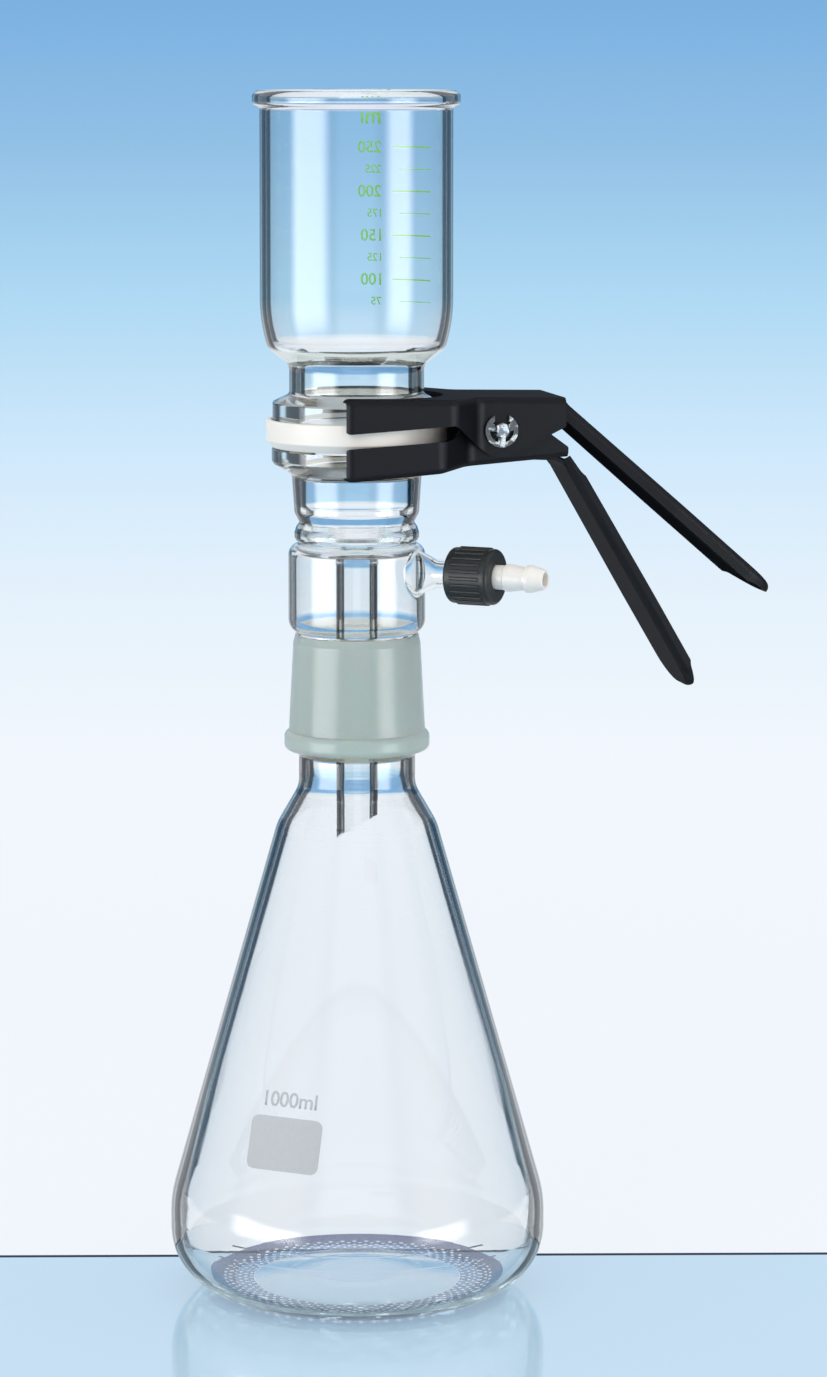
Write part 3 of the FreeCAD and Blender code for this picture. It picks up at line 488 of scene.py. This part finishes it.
def table_top():
    """Pale polished table, a fine dark line along its back edge, and white ground beyond."""
    made, sheet = material("pale_table")
    x, y, _ = sheet.axes(sheet.place())
    depth = x * math.sin(VIEW_TURN) + y * math.cos(VIEW_TURN)
    beyond = depth > TABLE_EDGE
    edge = beyond * (depth < TABLE_EDGE + TABLE_LINE)
    mottle = sheet.noise(8.0, 2.0)
    near = sheet.surface(
        Base_Color=sheet.blend(mottle, paint(140, 168, 187), paint(144, 172, 191)),
        Roughness=0.06 + 0.04 * mottle, Specular_IOR_Level=0.5,
        Emission_Color=paint(195, 218, 232), Emission_Strength=0.38,
    )
    white = sheet.surface(
        Base_Color=sheet.blend(mottle, paint(240, 245, 252), paint(243, 248, 253)),
        Roughness=0.8,
    )
    glow = sheet.glow("Emission", paint(242, 247, 253), 1.0)
    line = sheet.surface(Base_Color=paint(18, 32, 58), Roughness=0.5, Specular_IOR_Level=0.1)
    far = sheet.mix(edge, sheet.mix(sheet.seen() * 0.85, white, glow), line)
    ground = sheet.mix(beyond, near, far)
    distance = (x * x + y * y) ** 0.5
    near_end, far_end = TABLE_FADE
    fade = sheet.step(distance, near_end, far_end - near_end)
    sheet.finish(sheet.mix(fade, ground, sheet.pane((1.0, 1.0, 1.0, 1.0))))
    return made


# ---------- pieces made here ----------
def deselect():
    bpy.ops.object.select_all(action="DESELECT")


def only(piece):
    deselect()
    piece.select_set(True)
    bpy.context.view_layer.objects.active = piece


def settle(piece):
    """Puts the object's place and turn into its mesh."""
    only(piece)
    bpy.ops.object.transform_apply(location=True, rotation=True, scale=True)


def apply_modifier(piece, kind, **settings):
    only(piece)
    modifier = piece.modifiers.new(kind.title(), kind)
    for name, value in settings.items():
        setattr(modifier, name, value)
    bpy.ops.object.modifier_apply(modifier=modifier.name)


def cut_upright(piece, spacing):
    """Adds upright cuts so that a flat piece can bend."""
    only(piece)
    low = min(corner[0] for corner in piece.bound_box)
    high = max(corner[0] for corner in piece.bound_box)
    bpy.ops.object.mode_set(mode="EDIT")
    for i in range(1, max(2, round((high - low) / spacing))):
        bpy.ops.mesh.select_all(action="SELECT")
        bpy.ops.mesh.bisect(plane_co=(low + i * spacing, 0, 0), plane_no=(1, 0, 0))
    bpy.ops.object.mode_set(mode="OBJECT")


def lay_on_glass(piece, glass, radius, turn, height, lean=0.0):
    """Bends a flat print that faces -Y, lays it on the round glass and gives it thickness."""
    cut_upright(piece, BEND_STEP)
    apply_modifier(
        piece, "SIMPLE_DEFORM", deform_method="BEND", deform_axis="Z",
        angle=piece.dimensions.x / radius,
    )
    piece.rotation_euler = (-lean, 0, 0)
    settle(piece)
    piece.location = (0, -radius, height)
    settle(piece)
    piece.rotation_euler = (0, 0, turn + math.pi / 2)
    settle(piece)
    apply_modifier(
        piece, "SHRINKWRAP", target=glass, wrap_method="NEAREST_SURFACEPOINT",
        wrap_mode="ABOVE_SURFACE", offset=INK_DEPTH / 2,
    )
    apply_modifier(piece, "SOLIDIFY", thickness=INK_DEPTH, offset=0)


def flat_words(name, words, height):
    """Lettering that stands upright and faces -Y, centred on the origin."""
    deselect()
    bpy.ops.object.text_add()
    piece = bpy.context.object
    piece.data.body = words
    piece.data.offset = LETTER_WEIGHT
    piece.data.align_x = "CENTER"
    piece.data.align_y = "CENTER"
    bpy.ops.object.convert(target="MESH")
    piece.name = name
    tall = piece.dimensions.y
    piece.scale = (height / tall,) * 3
    piece.rotation_euler = (math.pi / 2, 0, 0)
    settle(piece)
    low = Vector(piece.bound_box[0])
    high = Vector(piece.bound_box[6])
    piece.location = -(low + high) / 2
    settle(piece)
    return piece


def flat_bar(name, length, height):
    """Rectangle that stands upright and faces -Y."""
    deselect()
    bpy.ops.mesh.primitive_plane_add(size=1.0, rotation=(math.pi / 2, 0, 0))
    piece = bpy.context.object
    piece.name = name
    piece.scale = (length, height, 1)
    settle(piece)
    return piece


def join(pieces, name):
    deselect()
    for piece in pieces:
        piece.select_set(True)
    bpy.context.view_layer.objects.active = pieces[0]
    bpy.ops.object.join()
    pieces[0].name = name
    return pieces[0]


def funnel_scale():
    """Graduation on the far side of the barrel: lines, numbers and the unit."""
    barrel = nodes["funnel"]
    made = []
    for i, value in enumerate(SCALE_VALUES):
        height = SCALE_LOW + i * SCALE_STEP
        if value % MAIN_VALUES == 0:
            start, weight, figures = LONG_LINE_START, LONG_LINE_WEIGHT, MAIN_FIGURES
        else:
            start, weight, figures = SHORT_LINE_START, SHORT_LINE_WEIGHT, SMALL_FIGURES
        line = flat_bar("scale_line", math.radians(LINE_END - start) * BARREL_RADIUS, weight)
        turn = SCALE_TURN - math.radians((LINE_END + start) / 2)
        lay_on_glass(line, barrel, BARREL_RADIUS, turn, height)
        number = flat_words("scale_number", str(value), figures)
        half = number.dimensions.x / 2 / BARREL_RADIUS
        turn = SCALE_TURN - math.radians(NUMBER_START) + half
        lay_on_glass(number, barrel, BARREL_RADIUS, turn, height)
        made += [line, number]
    unit = flat_words("scale_unit", "ml", UNIT_LETTERS)
    turn = SCALE_TURN - math.radians(UNIT_START)
    lay_on_glass(unit, barrel, BARREL_RADIUS, turn, UNIT_HEIGHT)
    return join(made + [unit], "funnel_scale")


def flask_radius(height):
    """Radius of the flask's cone at a height."""
    return FLASK_RADIUS - (height - FLASK_FLANK) * math.tan(FLASK_LEAN)


def flask_label():
    """Rounded patch for pencil notes."""
    label = flat_bar("flask_label", *LABEL_SIZE)
    only(label)
    bpy.ops.object.mode_set(mode="EDIT")
    bpy.ops.mesh.select_all(action="SELECT")
    bpy.ops.mesh.bevel(offset=LABEL_CORNER, segments=6, affect="VERTICES")
    bpy.ops.object.mode_set(mode="OBJECT")
    radius = flask_radius(LABEL_HEIGHT)
    lay_on_glass(label, nodes["flask"], radius, LABEL_TURN, LABEL_HEIGHT, FLASK_LEAN)
    return label


def flask_volume():
    """The flask's volume, above the patch."""
    words = flat_words("flask_volume", "1000ml", VOLUME_LETTERS)
    radius = flask_radius(VOLUME_HEIGHT)
    lay_on_glass(words, nodes["flask"], radius, VOLUME_TURN, VOLUME_HEIGHT, FLASK_LEAN)
    return words


def spring_part(name, leg_alone):
    """A copy of the torsion spring: its upper leg alone, or all but that leg."""
    only(nodes["torsion_spring"])
    bpy.ops.object.duplicate()
    piece = bpy.context.object
    piece.name = name
    for key in list(piece.keys()):
        del piece[key]
    bpy.ops.object.mode_set(mode="EDIT")
    bpy.ops.mesh.select_mode(type="FACE")
    bpy.ops.mesh.select_all(action="SELECT")
    bpy.ops.mesh.remove_doubles(threshold=WELD)
    bpy.ops.mesh.select_all(action="DESELECT")
    bpy.ops.object.mode_set(mode="OBJECT")
    root = Vector(SPRING_LEG_ROOT)
    rise = math.radians(SPRING_LEG_RISE)
    along = Vector((math.cos(rise), 0, math.sin(rise)))
    on_leg = []
    for vertex in piece.data.vertices:
        away = vertex.co - root
        run = away.dot(along)
        beside = (away - along * run).length
        on_leg.append(run > SPRING_LEG_START and beside < SPRING_LEG_REACH)
    for face in piece.data.polygons:
        face.select = all(on_leg[i] for i in face.vertices) != leg_alone
    bpy.ops.object.mode_set(mode="EDIT")
    bpy.ops.mesh.delete(type="FACE")
    # the cut is closed with one face
    bpy.ops.mesh.select_mode(type="EDGE")
    bpy.ops.mesh.select_non_manifold()
    bpy.ops.mesh.edge_face_add()
    bpy.ops.object.mode_set(mode="OBJECT")
    return piece


# ---------- setting ----------
def floor():
    """Round table top under the object, left out of its size."""
    deselect()
    bpy.ops.mesh.primitive_circle_add(
        vertices=TABLE_SIDES, radius=TABLE_RADIUS, fill_type="NGON"
    )
    top = bpy.context.object
    top.name = "table"
    top.data.materials.append(table_top())


def lamp(name, place, aim, size, power, colour):
    """Soft lamp that lights the object and isn't seen in it."""
    light = bpy.data.lights.new(name, "AREA")
    light.shape = "RECTANGLE"
    light.size, light.size_y = size
    light.energy = power
    light.color = colour
    holder = bpy.data.objects.new(name, light)
    bpy.context.scene.collection.objects.link(holder)
    holder.location = place
    holder.rotation_euler = (Vector(aim) - Vector(place)).to_track_quat("-Z", "Y").to_euler()
    holder.visible_glossy = False
    holder.visible_transmission = False


def backdrop():
    """Sky blue above that pales to white, seen straight on, in glass and in gloss."""
    world = bpy.data.worlds.new("studio")
    bpy.context.scene.world = world
    sheet = Sheet(world)
    direction = sheet.node("ShaderNodeTexCoord", output="Generated")
    x, y, rise = sheet.axes(direction)
    level = sheet.node("ShaderNodeMapRange", None, {0: rise, 1: -0.20, 2: 0.02})
    high = sheet.step(rise, 0.10, 0.25)
    sky = sheet.ramp(level, [
        (0.0, paint(242, 247, 253)),
        (0.18, paint(242, 247, 253)),
        (0.34, paint(230, 242, 252)),
        (0.49, paint(208, 233, 252)),
        (0.65, paint(175, 217, 244)),
        (0.80, paint(147, 193, 230)),
        (0.92, paint(128, 180, 226)),
        (1.0, paint(119, 173, 219)),
    ])
    sky = sheet.blend(high, sky, paint(236, 238, 246))
    aside = x * math.cos(VIEW_TURN) - y * math.sin(VIEW_TURN)
    sideways = sheet.step(aside.sum("ABSOLUTE", aside), 0.3, 0.2)
    # painted shade: rays that glass turns sideways inside its walls see dark grey instead of sky,
    # which draws dark bands in the glass
    sky = sheet.blend(sheet.inward() * sideways, sky, paint(56, 64, 72))
    picture = sheet.glow("Background", sky, 1.0)
    fall = WINDOW_LOW_POWER - WINDOW_HIGH_POWER
    glare = WINDOW_LOW_POWER - fall * sheet.step(rise, 0.08, 0.06)
    window = sheet.glow("Background", WINDOW_LIGHT, glare)
    gloss = sheet.path("Glossy Depth") > 0.5
    shown = windows(sheet, direction) * gloss * (1 - sheet.inward())
    picture = sheet.mix(shown, picture, window)
    light = sheet.glow("Background", ROOM_LIGHT, ROOM_POWER)
    mixed = sheet.mix(sheet.seen(), light, picture)
    sheet.node("ShaderNodeOutputWorld", None, {"Surface": mixed})


def windows(sheet, direction):
    """Two tall soft windows before the object, which show in gloss."""
    x, y, rise = sheet.axes(direction)
    aside = x * math.cos(VIEW_TURN) - y * math.sin(VIEW_TURN)
    ahead = x * math.sin(VIEW_TURN) + y * math.cos(VIEW_TURN)
    turn = aside.sum("ARCTAN2", aside, -1 * ahead)
    shown = 0.0
    for low, high in WINDOWS:
        begun = sheet.step(turn, low, WINDOW_EDGE)
        shown = shown + begun * sheet.step(-1 * turn, -high, WINDOW_EDGE)
    return shown * sheet.step(rise, -0.6, 0.48) * sheet.step(-1 * rise, -0.85, 0.1)


def camera():
    """The one camera, a little above the funnel's rim and tilted down."""
    bpy.context.scene.view_settings.view_transform = "Standard"
    lens = bpy.data.cameras.new("view")
    lens.lens = VIEW_LENS
    lens.shift_y = VIEW_SHIFT
    lens.clip_start, lens.clip_end = 0.05, 50.0
    holder = bpy.data.objects.new("view", lens)
    bpy.context.scene.collection.objects.link(holder)
    holder.location = (
        -VIEW_DISTANCE * math.sin(VIEW_TURN), -VIEW_DISTANCE * math.cos(VIEW_TURN), VIEW_HEIGHT
    )
    holder.rotation_euler = (math.pi / 2 - VIEW_TILT, 0, -VIEW_TURN - VIEW_ASIDE)
    bpy.context.scene.camera = holder


# ---------- finishes ----------
def dress(name, finish):
    """Gives a CAD node its finish."""
    slots = nodes[name].data.materials
    for i in range(len(slots)):
        slots[i] = finish


def own(piece, body, finish):
    """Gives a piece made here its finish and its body."""
    piece.data.materials.clear()
    piece.data.materials.append(finish)
    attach(piece, body)


glass = clear_glass()
black = black_lacquer()
finishes = {
    "flask": glass,
    "receiver_head": glass,
    "funnel": glass,
    "seal_ring": moulded(
        "white_seal_ring", paint(250, 244, 237), paint(244, 238, 229), 0.42, 700.0, 0.05 * MM,
        Specular_IOR_Level=0.3,
    ),
    "filter_frit": sintered_glass(),
    "upper_jaw": black,
    "lower_jaw": black,
    "hinge_pin": metal(
        "bright_pin", paint(254, 252, 248), paint(120, 122, 126), 0.2, 1400.0, 420.0
    ),
    "retaining_clips": metal(
        "spring_clip", paint(232, 228, 222), paint(46, 47, 50), 0.24, 1600.0, 300.0, 0.38
    ),
    "torsion_spring": metal("spring_wire", paint(120, 120, 122), paint(84, 84, 88), 0.34, 1600.0),
    "screw_cap": moulded(
        "dark_cap_plastic", paint(46, 48, 48), paint(37, 39, 40), 0.4, 1300.0, 0.06 * MM,
        Specular_IOR_Level=0.25,
    ),
    "hose_nozzle": moulded(
        "white_nozzle_plastic", paint(253, 245, 237), paint(247, 238, 229), 0.36, 1100.0,
        0.04 * MM, Subsurface_Weight=0.1,
    ),
    "nozzle_seal": moulded(
        "white_washer", paint(230, 229, 222), paint(218, 216, 208), 0.5, 900.0, 0.05 * MM
    ),
}
for name, finish in finishes.items():
    dress(name, finish)

green = ink("green_enamel", paint(128, 196, 84), paint(146, 210, 104), 0.45)
grey = ink("grey_enamel", paint(190, 190, 191), paint(201, 201, 201), 0.0)
own(funnel_scale(), "root", green)
own(flask_label(), "root", grey)
own(flask_volume(), "root", grey)

# the spring's upper leg goes with the upper handle when the clamp opens
coil = spring_part("spring_coil", False)
upper_leg = spring_part("spring_upper_leg", True)
own(coil, "clamp", finishes["torsion_spring"])
own(upper_leg, "upper_jaw", finishes["torsion_spring"])
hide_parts("torsion_spring")

floor()
backdrop()
lamp("key", *KEY_LAMP)
lamp("fill", *FILL_LAMP)
camera()
